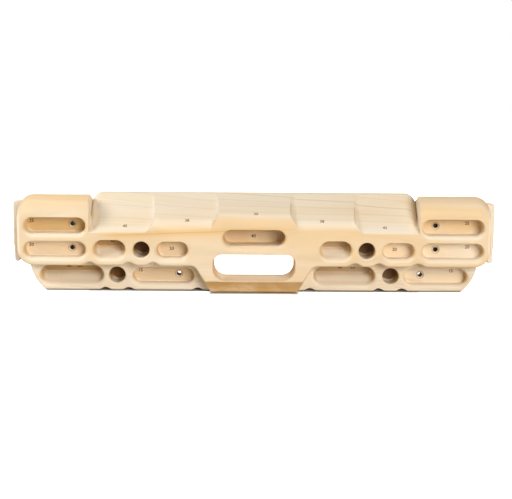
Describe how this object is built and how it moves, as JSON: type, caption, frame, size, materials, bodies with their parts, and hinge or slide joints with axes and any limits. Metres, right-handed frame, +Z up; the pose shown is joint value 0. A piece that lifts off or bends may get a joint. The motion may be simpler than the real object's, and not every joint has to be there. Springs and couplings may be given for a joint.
{
  "type": "hangboard",
  "caption": "Wooden climbing hangboard with end jugs, sloping ledges along the top, rows of finger pockets and a central handle hole, glued up from three boards.",
  "frame": {"origin": "on the ground under the middle of the board, halfway between the front and the back", "axes": "+X along the board, to the right as seen from the front; +Y from the front to the wall; +Z up"},
  "size_m": [0.698, 0.06, 0.14],
  "materials": {
    "front_wood": "sanded, unvarnished",
    "middle_wood": "sanded, unvarnished",
    "rear_wood": "sanded, unvarnished"
  },
  "bodies": {
    "root": {"front_board": "front_wood", "middle_board": "middle_wood", "rear_board": "rear_wood"}
  },
  "joints": []
}
